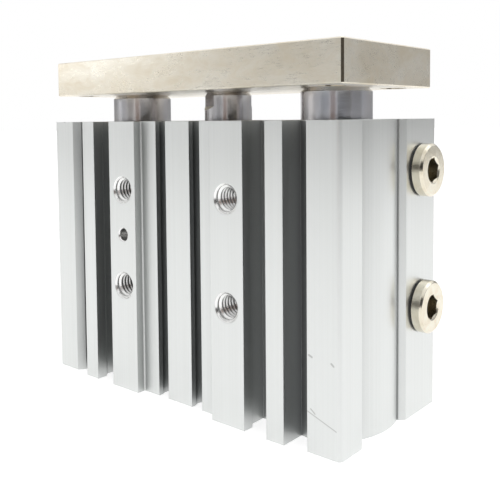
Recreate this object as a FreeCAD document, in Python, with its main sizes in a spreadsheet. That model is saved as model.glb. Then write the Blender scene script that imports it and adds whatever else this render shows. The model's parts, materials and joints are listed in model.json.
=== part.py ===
"""Guided pneumatic cylinder: extruded body, three rods and an end plate.

Frame, in millimetres: +Z is the stroke, +X the long side and the plugged end,
-Y the side with the T-slots. The origin is on the piston axis, in the bottom face.
The rods are drawn fully in. Every length is a cell of the sheet Sizes.
"""
import FreeCAD, Part
import math
import os
import re
import Sketcher

SIZES = {
    # stroke and the stack of pieces along it
    "stroke": 30.0,
    "stop_gap": 0.3,
    "cover_recess": 1.2,
    "ring_thickness": 1.2,
    "head_cover_length": 7.1,
    "rod_cover_length": 11.6,
    "head_spigot_length": 3.0,
    "rod_spigot_length": 5.0,
    "air_gap": 1.5,
    "bumper_thickness": 1.5,
    "plate_gap": 7.0,
    "plate_thickness": 9.0,
    # clearances: running and seat are on the radius
    "running": 0.04,
    "seat": 0.02,
    "free": 0.3,
    "axial_play": 0.05,
    # bores and rods, as diameters
    "bore": 25.0,
    "cover_step": 1.0,
    "ring_groove_depth": 0.8,
    "piston_rod": 12.0,
    "guide_rod": 16.0,
    "bush_wall": 1.5,
    # walls that space the bores out and close the section
    "side_bore_wall": 1.7,
    "side_guide_wall": 2.7,
    "depth_wall": 8.5,
    "end_wall": 4.1,
    # front of the extruded section
    "side_land": 4.6,
    "recess_depth": 2.35,
    "recess_foot": 0.45,
    "switch_pitch": 11.1,
    "switch_neck": 3.3,
    "switch_round": 4.2,
    "switch_centre": 5.0,
    "tee_wall": 0.65,
    "tee_neck": 6.1,
    "tee_width": 8.4,
    "tee_lip": 2.9,
    "tee_depth": 8.2,
    "tee_rib": 3.35,
    "notch_depth": 6.5,
    "notch_slope": 0.6,
    # corner posts and the ends between them
    "post_width": 9.2,
    "post_recess": 0.9,
    "post_flare": 1.3,
    "post_flare_depth": 1.9,
    "post_depth": 9.0,
    "post_round": 1.1,
    "end_slot_depth": 3.2,
    "guide_crown": 0.6,
    "wall_radius": 19.0,
    "strip_margin": 1.5,
    "strip_chamfer": 1.15,
    "crease_width": 0.4,
    "crease_depth": 0.25,
    "rear_round": 0.3,
    "rear_land": 1.75,
    # threads, as major diameters, and plain holes
    "thread": 6.0,
    "thread_mouth": 6.9,
    "side_rows": 24.0,
    "side_low_row": 26.5,
    "side_thread_depth": 12.0,
    "through_hole": 5.6,
    "counterbore": 9.5,
    "counterbore_depth": 5.5,
    "pin_hole": 3.0,
    "pin_mouth": 3.6,
    "pin_depth": 6.0,
    "pin_height": 39.3,
    "base_end_inset": 4.6,
    "base_side_inset": 6.0,
    "base_thread_depth": 12.0,
    # air ports and the passages behind them
    "port": 9.72,
    "port_top": 11.6,
    "port_low": 24.6,
    "port_shift": 3.5,
    "end_port_depth": 8.0,
    "end_port_inset": 6.5,
    "passage": 2.5,
    "passage_dip": 0.25,
    "passage_reach": 5.0,
    "passage_overrun": 0.55,
    # port plugs
    "plug_flange": 12.0,
    "plug_flange_thickness": 2.4,
    "plug_bevel": 0.5,
    "plug_thread_length": 6.2,
    "plug_socket": 5.0,
    "plug_socket_depth": 4.5,
    "plug_socket_mouth": 6.1,
    "plug_turn": 20.0,
    "gasket_thickness": 0.45,
    "gasket_inset": 0.35,
    # guide bearings
    "bush_length": 22.0,
    "bush_top_depth": 4.0,
    "bush_low_end": 6.0,
    "scraper_wall": 2.2,
    "scraper_thickness": 2.4,
    "scraper_depth": 3.0,
    "guide_rod_end": 2.0,
    "rod_bevel": 0.8,
    # end plate and its screws
    "plate_end_inset": 0.1,
    "plate_side_inset": 2.0,
    "plate_corner_bevel": 0.45,
    "plate_edge_bevel": 0.25,
    "turned_bevel": 0.5,
    "load_end_inset": 6.5,
    "load_side_inset": 6.0,
    "screw_head": 10.0,
    "screw_head_height": 5.6,
    "screw_head_well": 6.2,
    "screw_head_gap": 0.25,
    "screw_shank_gap": 0.3,
    "screw_socket": 5.0,
    "screw_socket_depth": 3.0,
    "screw_grip": 12.0,
    "screw_hole_spare": 3.0,
    "wrench_cut": 1.0,
    "wrench_length": 3.4,
    "wrench_turn": -29.0,
    # piston
    "spigot_shoulder": 2.0,
    "nut_flats": 13.0,
    "nut_height": 3.4,
    "nut_room": 0.3,
    "nut_well_depth": 4.2,
    "ring_land": 1.0,
    "wear_height": 1.8,
    "wear_depth": 1.1,
    "seal_height": 2.4,
    "seal_depth": 2.6,
    "magnet_height": 2.2,
    "magnet_depth": 2.3,
    # covers, seals and bumpers
    "rod_bush_length": 5.8,
    "rod_bush_wall": 1.4,
    "rod_seal_height": 3.2,
    "rod_seal_depth": 2.8,
    "rod_seal_top": 1.4,
    "cord": 1.8,
    "cord_offset": 2.1,
    "bumper_inset": 1.5,
    "bumper_width": 3.0,
    "ring_width": 2.4,
    "ring_ear": 4.2,
    "ring_ear_hole": 1.6,
    "ring_ear_angle": 24.0,
}

# Places worked out from the sizes.
PLACES = {
    # across: from the piston axis out to the ends
    "bore_radius": "bore / 2",
    "seat_radius": "bore_radius + cover_step",
    "groove_radius": "seat_radius + ring_groove_depth",
    "rod_radius": "piston_rod / 2",
    "guide_radius": "guide_rod / 2",
    "bush_radius": "guide_radius + bush_wall",
    "scraper_radius": "guide_radius + scraper_wall",
    "side_x": "bore_radius + side_bore_wall + through_hole / 2",
    "guide_x": "side_x + through_hole / 2 + side_guide_wall + bush_radius",
    "half_length": "guide_x + bush_radius + end_wall",
    "half_depth": "bore_radius + depth_wall",
    "recess_to": "side_x - side_land",
    "rear_recess_to": "side_x - counterbore / 2 - rear_land",
    "tee_x": "side_x + thread / 2 + tee_wall + tee_width / 2",
    "notch_from": "tee_x + tee_width / 2 + tee_rib",
    "notch_to": "half_length - post_width",
    "post_front": "half_depth - post_recess",
    "post_back": "post_front - post_depth",
    "end_slot": "half_length - end_slot_depth",
    "wall_x": "half_length - guide_crown - wall_radius",
    "passage_y": "bore_radius - passage_dip",
    "end_port_y": "half_depth - end_port_inset",
    "strip_edge": "end_port_y - plug_flange / 2 - strip_margin",
    "crease_to": "strip_edge - strip_chamfer",
    "crease_from": "crease_to - crease_width",
    "rear_port_x": "guide_x - port_shift",
    "plate_x": "half_length - plate_end_inset",
    "plate_y": "half_depth - plate_side_inset",
    # up: from the bottom face to the top of the plate
    "head_bottom": "cover_recess + ring_thickness",
    "head_top": "head_bottom + head_cover_length",
    "head_shoulder": "head_top - head_spigot_length",
    "piston_bottom": "head_top + bumper_thickness + stop_gap",
    "wear_bottom": "piston_bottom + ring_land",
    "seal_bottom": "wear_bottom + wear_height + ring_land",
    "magnet_bottom": "seal_bottom + seal_height + ring_land",
    "piston_top": "magnet_bottom + magnet_height + ring_land",
    "rod_cover_bottom": "piston_top + stroke + stop_gap + bumper_thickness",
    "rod_shoulder": "rod_cover_bottom + rod_spigot_length",
    "rod_cover_top": "rod_cover_bottom + rod_cover_length",
    "body_height": "rod_cover_top + ring_thickness + cover_recess",
    "side_high_row": "side_low_row + side_rows",
    "port_high": "body_height - port_top",
    "plate_bottom": "body_height + plate_gap",
    "plate_top": "plate_bottom + plate_thickness",
    "screw_seat": "plate_top - screw_head_well",
    # radii of small pieces
    "thread_radius": "thread / 2",
    "spigot_radius": "bore_radius - air_gap",
    "piston_spigot": "rod_radius - spigot_shoulder",
    "nut_well": "nut_flats / sqrt(3) + nut_room",
    "wrench_flat": "rod_radius - wrench_cut",
    "cord_groove": "seat_radius - cord - 2 * seat",
    "cord_radius": "seat_radius - seat - cord / 2",
}


FUNCTIONS = ("sqrt", "sin", "cos")


def size(text):
    """Turn size and place names into an expression on the sheet's cells."""
    def word(match):
        name = match.group(0)
        if name in PLACES:
            return "(" + size(PLACES[name]) + ")"
        if name in FUNCTIONS:
            return name
        if name not in SIZES:
            raise KeyError(f"no size is called {name}")
        return "Sizes." + name
    return re.sub(r"[a-z][a-z_0-9]*", word, text)


def make_sheet(doc):
    sheet = doc.addObject("Spreadsheet::Sheet", "Sizes")
    for row, (name, value) in enumerate(SIZES.items(), start=1):
        sheet.set(f"A{row}", name)
        sheet.set(f"B{row}", str(value))
        sheet.setAlias(f"B{row}", name)
    doc.recompute()
    return sheet


def number(thing, text):
    value = thing.evalExpression(size(text))
    return float(getattr(value, "Value", value))


def bind(thing, **properties):
    for name, text in properties.items():
        thing.setExpression(name, size(text))


def make_body(doc, label):
    body = doc.addObject("PartDesign::Body", label)
    body.Label = label
    return body


def origin_feature(body, role):
    return next(item for item in body.Origin.OriginFeatures if item.Role == role)


def make_sketch(body, name, plane, offset=None):
    sketch = body.newObject("Sketcher::SketchObject", name)
    sketch.AttachmentSupport = [(origin_feature(body, plane), "")]
    sketch.MapMode = "FlatFace"
    if offset:
        sketch.setExpression("AttachmentOffset.Base.z", size(offset))
    return sketch


def fix_point(sketch, geometry, point, place):
    """Tie a point of the sketch to the sheet by its two coordinates."""
    for kind, axis, text in (("DistanceX", -2, place[0]), ("DistanceY", -1, place[1])):
        value = number(sketch, text)
        if text == "0":
            sketch.addConstraint(Sketcher.Constraint("PointOnObject", geometry, point, axis))
            continue
        index = sketch.addConstraint(
            Sketcher.Constraint(kind, -1, 1, geometry, point, value))
        sketch.setExpression(f"Constraints[{index}]", size(text))


def arc_between(start, end, radius, turn):
    """Arc from start to end; turn is 1 anticlockwise and -1 clockwise."""
    chord = end - start
    rise = math.sqrt(max(radius ** 2 - (chord.Length / 2) ** 2, 0))
    side = FreeCAD.Vector(-chord.y, chord.x, 0).normalize()
    centre = (start + end) / 2 + side * rise * turn
    first, last = (start, end) if turn > 0 else (end, start)
    angles = [math.atan2(p.y - centre.y, p.x - centre.x) for p in (first, last)]
    circle = Part.Circle(centre, FreeCAD.Vector(0, 0, 1), radius)
    return Part.ArcOfCircle(circle, angles[0], angles[1])


def draw_outline(sketch, corners):
    """Closed outline. A corner is (x, y), or (x, y, radius, turn) where an arc leaves it."""
    places = [FreeCAD.Vector(number(sketch, c[0]), number(sketch, c[1]), 0) for c in corners]
    ends = []
    for index, corner in enumerate(corners):
        start, end = places[index], places[(index + 1) % len(corners)]
        if len(corner) == 2:
            line = sketch.addGeometry(Part.LineSegment(start, end), False)
            ends.append((line, 1, 2))
            continue
        radius, turn = corner[2:]
        arc = arc_between(start, end, number(sketch, radius), turn)
        line = sketch.addGeometry(arc, False)
        ends.append((line, 1, 2) if turn > 0 else (line, 2, 1))
    for index, (line, first, last) in enumerate(ends):
        follower = ends[(index + 1) % len(ends)]
        sketch.addConstraint(
            Sketcher.Constraint("Coincident", line, last, follower[0], follower[1]))
        fix_point(sketch, line, first, corners[index][:2])
        if len(corners[index]) == 4:
            radius = corners[index][2]
            tie = sketch.addConstraint(
                Sketcher.Constraint("Radius", line, number(sketch, radius)))
            sketch.setExpression(f"Constraints[{tie}]", size(radius))


def draw_circles(sketch, centres, radius):
    for centre in centres:
        place = FreeCAD.Vector(number(sketch, centre[0]), number(sketch, centre[1]), 0)
        circle = Part.Circle(place, FreeCAD.Vector(0, 0, 1), number(sketch, radius))
        line = sketch.addGeometry(circle, False)
        fix_point(sketch, line, 3, centre)
        tie = sketch.addConstraint(Sketcher.Constraint("Radius", line, number(sketch, radius)))
        sketch.setExpression(f"Constraints[{tie}]", size(radius))


def finish(body):
    """Recompute, so that a feature that cut or added nothing shows at once."""
    body.Document.recompute()
    if body.Tip.Shape.isNull() or not body.Tip.Shape.isValid():
        raise RuntimeError(f"{body.Label}: {body.Tip.Label} has no valid shape")
    return body.Tip.Shape.Volume


def pad(body, sketch, length):
    feature = body.newObject("PartDesign::Pad", sketch.Name + "_pad")
    feature.Profile = sketch
    bind(feature, Length=length)
    finish(body)
    return feature


def pocket(body, sketch, length, towards_normal=False, midplane=False):
    before = finish(body)
    feature = body.newObject("PartDesign::Pocket", sketch.Name + "_cut")
    feature.Profile = sketch
    feature.Reversed = towards_normal
    if midplane:
        feature.SideType = "Symmetric"
    bind(feature, Length=length)
    if finish(body) > before - 1e-3:
        raise RuntimeError(f"{body.Label}: {feature.Label} cut nothing")
    return feature


def turned(body, corners, name="profile", cut=False):
    """Revolve a half profile, given as (radius, height) corners, about Z."""
    sketch = make_sketch(body, f"{body.Name}_{name}", "XZ_Plane")
    draw_outline(sketch, corners)
    before = finish(body) if cut else 0
    kind = "PartDesign::Groove" if cut else "PartDesign::Revolution"
    feature = body.newObject(kind, f"{body.Name}_{name}_turn")
    feature.Profile = sketch
    feature.ReferenceAxis = (sketch, ["V_Axis"])
    feature.Angle = 360
    after = finish(body)
    if cut and after > before - 1e-3:
        raise RuntimeError(f"{body.Label}: {feature.Label} cut nothing")
    return feature


def mirror(body, features, role="YZ_Plane"):
    feature = body.newObject("PartDesign::Mirrored", f"{body.Name}_mirrored")
    feature.Originals = features
    feature.MirrorPlane = (origin_feature(body, role), [""])
    body.Tip = feature
    finish(body)
    return feature


def upright(edge):
    """True for an edge that runs along Z."""
    box = edge.BoundBox
    return box.ZLength > 10 * max(box.XLength, box.YLength)


def bevel(body, edges, length):
    """Chamfer the edges of the tip for which the test edges(edge) is true."""
    base = body.Tip
    names = [f"Edge{i}" for i, edge in enumerate(base.Shape.Edges, start=1) if edges(edge)]
    feature = body.newObject("PartDesign::Chamfer", f"{body.Name}_bevel")
    feature.Base = (base, names)
    bind(feature, Size=length)
    finish(body)
    return feature


def place(thing, x="0", y="0", z="0", axis=None, angle=0.0, spin=0.0):
    """Move a piece to its place; spin turns it about its own axis first."""
    if axis:
        own = FreeCAD.Rotation(FreeCAD.Vector(0, 0, 1), spin)
        thing.Placement.Rotation = FreeCAD.Rotation(FreeCAD.Vector(*axis), angle) * own
    for name, text in (("x", x), ("y", y), ("z", z)):
        if text != "0":
            thing.setExpression(f".Placement.Base.{name}", size(text))


def four(x, y):
    return [(a + x, b + y) for a in ("", "-") for b in ("", "-")]


# ---------------------------------------------------------------- body

def extruded_half(body):
    """Right half of the section: recess, T-slot land, notch, post, guide wall, plug strip."""
    wall_end = "wall_x + sqrt(wall_radius ^ 2 - crease_from ^ 2)"
    sketch = make_sketch(body, "section", "XY_Plane")
    draw_outline(sketch, [
        ("0", "recess_depth - half_depth"),
        ("recess_to - recess_foot", "recess_depth - half_depth", "recess_foot", -1),
        ("recess_to", "recess_depth - recess_foot - half_depth"),
        ("recess_to", "-half_depth"),
        ("notch_from", "-half_depth"),
        ("notch_from", "notch_depth - half_depth"),
        ("notch_to", "notch_depth - notch_slope - half_depth"),
        ("notch_to", "post_flare_depth - post_front"),
        ("notch_to + post_flare", "-post_front"),
        ("half_length - post_round", "-post_front", "post_round", 1),
        ("half_length", "post_round - post_front"),
        ("half_length", "-post_back - post_round", "post_round", 1),
        ("half_length - post_round", "-post_back"),
        ("end_slot", "-post_back"),
        ("end_slot", "-sqrt(wall_radius ^ 2 - (end_slot - wall_x) ^ 2)", "wall_radius", 1),
        (wall_end, "crease_from"),
        (f"{wall_end} - crease_depth", "crease_to - crease_width / 4"),
        ("half_length - strip_chamfer", "crease_to"),
        ("half_length", "strip_edge"),
        ("half_length", "half_depth - rear_round", "rear_round", 1),
        ("half_length - rear_round", "half_depth"),
        ("rear_recess_to", "half_depth"),
        ("rear_recess_to", "half_depth - recess_depth + recess_foot", "recess_foot", -1),
        ("rear_recess_to - recess_foot", "half_depth - recess_depth"),
        ("0", "half_depth - recess_depth"),
    ])
    return pad(body, sketch, "body_height")


def tee_slot(body):
    sketch = make_sketch(body, "tee_slot", "XY_Plane")
    centre = "tee_x"
    shoulder = "tee_lip + (tee_width - tee_neck) / 2 - half_depth"
    draw_outline(sketch, [
        (f"{centre} - tee_neck / 2", "-half_depth - 1"),
        (f"{centre} + tee_neck / 2", "-half_depth - 1"),
        (f"{centre} + tee_neck / 2", "tee_lip - half_depth"),
        (f"{centre} + tee_width / 2", shoulder),
        (f"{centre} + tee_width / 2", "tee_depth - half_depth"),
        (f"{centre} - tee_width / 2", "tee_depth - half_depth"),
        (f"{centre} - tee_width / 2", shoulder),
        (f"{centre} - tee_neck / 2", "tee_lip - half_depth"),
    ])
    return pocket(body, sketch, "body_height", towards_normal=True)


def switch_groove(body, name, sign):
    """Keyhole groove that holds a position switch: a neck and a round channel."""
    side = {1: ("", "-"), -1: ("-", "")}[sign]
    rise = "sqrt((switch_round / 2) ^ 2 - (switch_neck / 2) ^ 2)"
    mouth = f"{side[0]}(half_depth + 1)"
    throat = f"{side[0]}(half_depth - switch_centre + {rise})"
    sketch = make_sketch(body, name, "XY_Plane")
    left, right = "(switch_pitch - switch_neck) / 2", "(switch_pitch + switch_neck) / 2"
    draw_outline(sketch, [
        (left, mouth),
        (left, throat, "switch_round / 2", -sign),
        (right, throat),
        (right, mouth),
    ])
    return pocket(body, sketch, "body_height", towards_normal=True)


def cylinder_bore(body):
    """Bore with a cover seat and a retaining ring groove at each end."""
    turned(body, [
        ("0", "0"),
        ("seat_radius", "0"),
        ("seat_radius", "cover_recess"),
        ("groove_radius", "cover_recess"),
        ("groove_radius", "head_bottom"),
        ("seat_radius", "head_bottom"),
        ("seat_radius", "head_shoulder"),
        ("bore_radius", "head_shoulder"),
        ("bore_radius", "rod_shoulder"),
        ("seat_radius", "rod_shoulder"),
        ("seat_radius", "rod_cover_top"),
        ("groove_radius", "rod_cover_top"),
        ("groove_radius", "rod_cover_top + ring_thickness"),
        ("seat_radius", "rod_cover_top + ring_thickness"),
        ("seat_radius", "body_height"),
        ("0", "body_height"),
    ], name="bore", cut=True)


def guide_bores(body):
    sketch = make_sketch(body, "guide_bore", "XY_Plane")
    draw_circles(sketch, [("guide_x", "0"), ("-guide_x", "0")], "bush_radius")
    pocket(body, sketch, "body_height", towards_normal=True)
    sketch = make_sketch(body, "scraper_seat", "XY_Plane", "body_height")
    draw_circles(sketch, [("guide_x", "0"), ("-guide_x", "0")], "scraper_radius")
    pocket(body, sketch, "scraper_depth")


def drill(body, name, plane, offset, centres, shape, reverse=False):
    """Hole feature; shape gives diameter and depth, and a mouth that is a cone or a well."""
    sketch = make_sketch(body, name, plane, offset)
    draw_circles(sketch, centres, f"{shape['diameter']} / 2")
    before = finish(body)
    feature = body.newObject("PartDesign::Hole", name + "_holes")
    feature.Profile = sketch
    feature.Threaded = False
    feature.ThreadType = "None"
    feature.DepthType = "Dimension"
    feature.DrillPoint = "Flat" if shape.get("flat") else "Angled"
    bind(feature, Diameter=shape["diameter"], Depth=shape["depth"])
    if "mouth" in shape:
        feature.HoleCutType = "Countersink"
        feature.HoleCutCountersinkAngle = 90
        bind(feature, HoleCutDiameter=shape["mouth"])
    if "well" in shape:
        feature.HoleCutType = "Counterbore"
        bind(feature, HoleCutDiameter=shape["well"], HoleCutDepth=shape["well_depth"])
    feature.Reversed = reverse
    if finish(body) > before - 1e-3:
        raise RuntimeError(f"{body.Label}: {name} cut nothing")
    return feature


def side_holes(body):
    """Counterbored from the rear, threaded from the front, with one pin hole between."""
    rows = ("side_low_row", "side_high_row")
    centres = [(x, row) for x in ("side_x", "-side_x") for row in rows]
    drill(body, "side_bolt", "XZ_Plane", "-half_depth", centres,
          {"diameter": "through_hole", "depth": "2 * half_depth", "flat": True,
           "well": "counterbore", "well_depth": "counterbore_depth"}, reverse=True)
    drill(body, "side_thread", "XZ_Plane", "half_depth", centres,
          {"diameter": "thread", "depth": "side_thread_depth", "mouth": "thread_mouth",
           "flat": True})
    drill(body, "pin_hole", "XZ_Plane", "half_depth",
          [("-side_x", "pin_height")],
          {"diameter": "pin_hole", "depth": "pin_depth", "mouth": "pin_mouth"})


def base_holes(body):
    drill(body, "base_thread", "XY_Plane", None,
          four("(half_length - base_end_inset)", "(half_depth - base_side_inset)"),
          {"diameter": "thread", "depth": "base_thread_depth", "mouth": "thread_mouth"},
          reverse=True)


def air_ports(body):
    """Rear and end ports at each level, and the passages that join them to the bore."""
    levels = ("port_low", "port_high")
    drill(body, "rear_port", "XZ_Plane", "-half_depth",
          [("rear_port_x", level) for level in levels],
          {"diameter": "port", "depth": "half_depth - passage_y + passage_overrun",
           "flat": True}, reverse=True)
    drill(body, "end_port", "YZ_Plane", "half_length",
          [("end_port_y", level) for level in levels],
          {"diameter": "port", "depth": "end_port_depth", "flat": True})
    sketch = make_sketch(body, "link", "YZ_Plane", "half_length - end_port_depth")
    draw_circles(sketch, [("passage_y", level) for level in levels], "passage / 2")
    pocket(body, sketch, "half_length - end_port_depth - rear_port_x")
    sketch = make_sketch(body, "rod_side_passage", "YZ_Plane", "rear_port_x")
    draw_circles(sketch, [("passage_y", "port_high")], "passage / 2")
    pocket(body, sketch, "rear_port_x - passage_reach")
    head_side_passage(body)


def head_side_passage(body):
    """Slanted hole from the lower port down to the head end of the bore."""
    sketch = make_sketch(body, "slanted_passage", "YZ_Plane", "rear_port_x")
    draw_circles(sketch, [("passage_y", "port_low")], "passage / 2")
    before = finish(body)
    hole = body.newObject("PartDesign::Pocket", "head_side_passage")
    hole.Profile = sketch
    hole.UseCustomVector = True
    hole.Direction = FreeCAD.Vector(-1, 0, -0.5)
    hole.AlongSketchNormal = True
    bind(hole, Length="rear_port_x - passage_reach")
    slope = "(port_low - head_top) / (rear_port_x - passage_reach)"
    hole.setExpression("Direction.z", size(f"-{slope}"))
    if finish(body) > before - 1e-3:
        raise RuntimeError("head side passage cut nothing")


def cylinder_body(doc):
    body = make_body(doc, "cylinder_body")
    features = [extruded_half(body), tee_slot(body),
                switch_groove(body, "front_switch_groove", -1),
                switch_groove(body, "rear_switch_groove", 1)]
    mirror(body, features)
    cylinder_bore(body)
    guide_bores(body)
    side_holes(body)
    base_holes(body)
    air_ports(body)
    return body


# ---------------------------------------------------------------- covers and seals

def ring(doc, label, inner, outer, bottom, top):
    """Plain ring about Z; all four are expressions."""
    body = make_body(doc, label)
    turned(body, [(inner, bottom), (outer, bottom), (outer, top), (inner, top)])
    return body


def rod_cover(doc):
    """Gland at the rod end: bush seat, rod seal groove and a cord groove outside."""
    body = make_body(doc, "rod_cover")
    cord_low = "rod_shoulder + cord_offset - cord * 0.6"
    cord_high = "rod_shoulder + cord_offset + cord * 0.6"
    seal_top = "rod_cover_top - rod_seal_top"
    turned(body, [
        ("rod_radius + rod_bush_wall", "rod_cover_bottom"),
        ("spigot_radius", "rod_cover_bottom"),
        ("spigot_radius", "rod_shoulder"),
        ("seat_radius - seat", "rod_shoulder"),
        ("seat_radius - seat", cord_low),
        ("cord_groove", cord_low),
        ("cord_groove", cord_high),
        ("seat_radius - seat", cord_high),
        ("seat_radius - seat", "rod_cover_top"),
        ("rod_radius + free", "rod_cover_top"),
        ("rod_radius + free", seal_top),
        ("rod_radius + rod_seal_depth", seal_top),
        ("rod_radius + rod_seal_depth", f"{seal_top} - rod_seal_height"),
        ("rod_radius + free", f"{seal_top} - rod_seal_height"),
        ("rod_radius + free", "rod_cover_bottom + rod_bush_length"),
        ("rod_radius + rod_bush_wall", "rod_cover_bottom + rod_bush_length"),
    ])
    return body


def head_cover(doc):
    """Disc that closes the bottom of the bore, with a cord groove outside."""
    body = make_body(doc, "head_cover")
    cord_low = "head_shoulder - cord_offset - cord * 0.6"
    cord_high = "head_shoulder - cord_offset + cord * 0.6"
    turned(body, [
        ("0", "head_bottom"),
        ("seat_radius - seat - turned_bevel", "head_bottom"),
        ("seat_radius - seat", "head_bottom + turned_bevel"),
        ("seat_radius - seat", cord_low),
        ("cord_groove", cord_low),
        ("cord_groove", cord_high),
        ("seat_radius - seat", cord_high),
        ("seat_radius - seat", "head_shoulder"),
        ("spigot_radius", "head_shoulder"),
        ("spigot_radius", "head_top"),
        ("0", "head_top"),
    ])
    return body


def octagon(x, y, half):
    """Eight-sided outline about (x, y), half as wide as its opposite sides are apart."""
    side = f"{half} * (sqrt(2) - 1)"
    steps = [("+ " + half, "- " + side), ("+ " + half, "+ " + side),
             ("+ " + side, "+ " + half), ("- " + side, "+ " + half),
             ("- " + half, "+ " + side), ("- " + half, "- " + side),
             ("- " + side, "- " + half), ("+ " + side, "- " + half)]
    return [(f"{x} {across}", f"{y} {up}") for across, up in steps]


def cord_ring(doc, label, height):
    """Sealing ring in a cover's outer groove, its round section drawn with eight sides."""
    body = make_body(doc, label)
    turned(body, octagon("cord_radius", height, "cord / 2"))
    return body


def retaining_ring(doc, label, bottom):
    """Internal snap ring with two eyes at its gap."""
    body = make_body(doc, label)
    outer = "(groove_radius - seat * 5)"
    inner = f"({outer} - ring_width)"
    eye_x = f"({inner} * cos(ring_ear_angle))"
    eye_y = f"({inner} * sin(ring_ear_angle))"
    eyes = [(eye_x, eye_y), (eye_x, f"-{eye_y}")]
    thickness = "ring_thickness - 2 * axial_play"
    base = f"{bottom} + axial_play"
    loop = make_sketch(body, label + "_loop", "XY_Plane", base)
    draw_circles(loop, [("0", "0")], outer)
    draw_circles(loop, [("0", "0")], inner)
    pad(body, loop, thickness)
    ears = make_sketch(body, label + "_ears", "XY_Plane", base)
    draw_circles(ears, eyes, "ring_ear / 2")
    pad(body, ears, thickness)
    gap = make_sketch(body, label + "_gap", "XY_Plane", base)
    half_gap = f"({eye_y} - ring_ear * 0.4)"
    draw_outline(gap, [
        (f"{inner} / 2", f"-{half_gap}"),
        ("groove_radius + 1", f"-{half_gap}"),
        ("groove_radius + 1", half_gap),
        (f"{inner} / 2", half_gap),
    ])
    pocket(body, gap, thickness, towards_normal=True)
    holes = make_sketch(body, label + "_eyes", "XY_Plane", base)
    draw_circles(holes, eyes, "ring_ear_hole / 2")
    pocket(body, holes, thickness, towards_normal=True)
    return body


def rod_seal(doc):
    """Lip seal: its open side faces the pressure."""
    body = make_body(doc, "rod_seal")
    inner, outer = "rod_radius + running", "rod_radius + rod_seal_depth - seat"
    top = "rod_cover_top - rod_seal_top - axial_play"
    bottom = "rod_cover_top - rod_seal_top - rod_seal_height + axial_play"
    turned(body, [
        (inner, bottom),
        ("rod_radius + rod_seal_depth * 0.35", bottom),
        ("rod_radius + rod_seal_depth * 0.5", f"{bottom} + rod_seal_height * 0.4"),
        ("rod_radius + rod_seal_depth * 0.65", bottom),
        (outer, bottom),
        (outer, top),
        (inner, top),
    ])
    return body


def cover_pieces(doc):
    cord_high = "rod_shoulder + cord_offset"
    cord_low = "head_shoulder - cord_offset"
    inner, outer = "rod_radius + bumper_inset", "rod_radius + bumper_inset + bumper_width"
    return [
        rod_cover(doc),
        head_cover(doc),
        cord_ring(doc, "rod_cover_gasket", cord_high),
        cord_ring(doc, "head_cover_gasket", cord_low),
        retaining_ring(doc, "rod_cover_retaining_ring", "rod_cover_top"),
        retaining_ring(doc, "head_cover_retaining_ring", "cover_recess"),
        rod_seal(doc),
        ring(doc, "rod_bush", "rod_radius + running", "rod_radius + rod_bush_wall - seat",
             "rod_cover_bottom", "rod_cover_bottom + rod_bush_length"),
        ring(doc, "rod_side_bumper", inner, outer,
             "rod_cover_bottom - bumper_thickness", "rod_cover_bottom"),
        ring(doc, "head_side_bumper", inner, outer, "head_top", "head_top + bumper_thickness"),
    ]


# ---------------------------------------------------------------- guides

def guide_bearings(doc, side, x):
    """Two plain bushes and a scraper in one guide bore."""
    inner, outer = "guide_radius + running", "bush_radius - seat"
    top = "body_height - scraper_depth - bush_top_depth"
    seat = "body_height - scraper_depth"
    pieces = [
        ring(doc, f"guide_bush_upper_{side}", inner, outer, f"{top} - bush_length", top),
        ring(doc, f"guide_bush_lower_{side}", inner, outer,
             "bush_low_end", "bush_low_end + bush_length"),
        ring(doc, f"guide_scraper_{side}", inner, "scraper_radius - seat",
             seat, f"{seat} + scraper_thickness"),
    ]
    for piece in pieces:
        place(piece, x=x)
    return pieces


def rod_profile(radius, foot):
    """Round rod with a bevelled top and a threaded hole for the plate screw."""
    hole_end = "plate_bottom - screw_grip - screw_hole_spare"
    return foot + [
        (radius, "plate_bottom - rod_bevel"),
        (f"{radius} - rod_bevel", "plate_bottom"),
        ("thread_radius", "plate_bottom"),
        ("thread_radius", hole_end),
        ("0", hole_end),
    ]


def guide_rod(doc, side, x):
    body = make_body(doc, f"guide_rod_{side}")
    turned(body, rod_profile("guide_radius", [
        ("0", "guide_rod_end"),
        ("guide_radius - rod_bevel", "guide_rod_end"),
        ("guide_radius", "guide_rod_end + rod_bevel"),
    ]))
    place(body, x=x)
    return body


# ---------------------------------------------------------------- piston and rod

def piston_rod(doc):
    """Rod with a spigot for the piston and two wrench flats under the plate."""
    body = make_body(doc, "piston_rod")
    foot = "piston_bottom + nut_well_depth - nut_height"
    turned(body, rod_profile("rod_radius", [
        ("0", foot),
        ("piston_spigot", foot),
        ("piston_spigot", "piston_top"),
        ("rod_radius", "piston_top"),
    ]))
    flat = make_sketch(body, "wrench_flat", "YZ_Plane")
    low = "(plate_bottom - wrench_length)"
    draw_outline(flat, [
        ("wrench_flat", "plate_bottom + 1"),
        ("wrench_flat", low),
        ("rod_radius + 1", f"{low} - (rod_radius + 1 - wrench_flat)"),
        ("rod_radius + 1", "plate_bottom + 1"),
    ])
    cut = pocket(body, flat, "piston_rod * 2", midplane=True)
    mirror(body, [cut], "XZ_Plane")
    body.setExpression(".Placement.Rotation.Angle", size("wrench_turn"))
    return body


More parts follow.
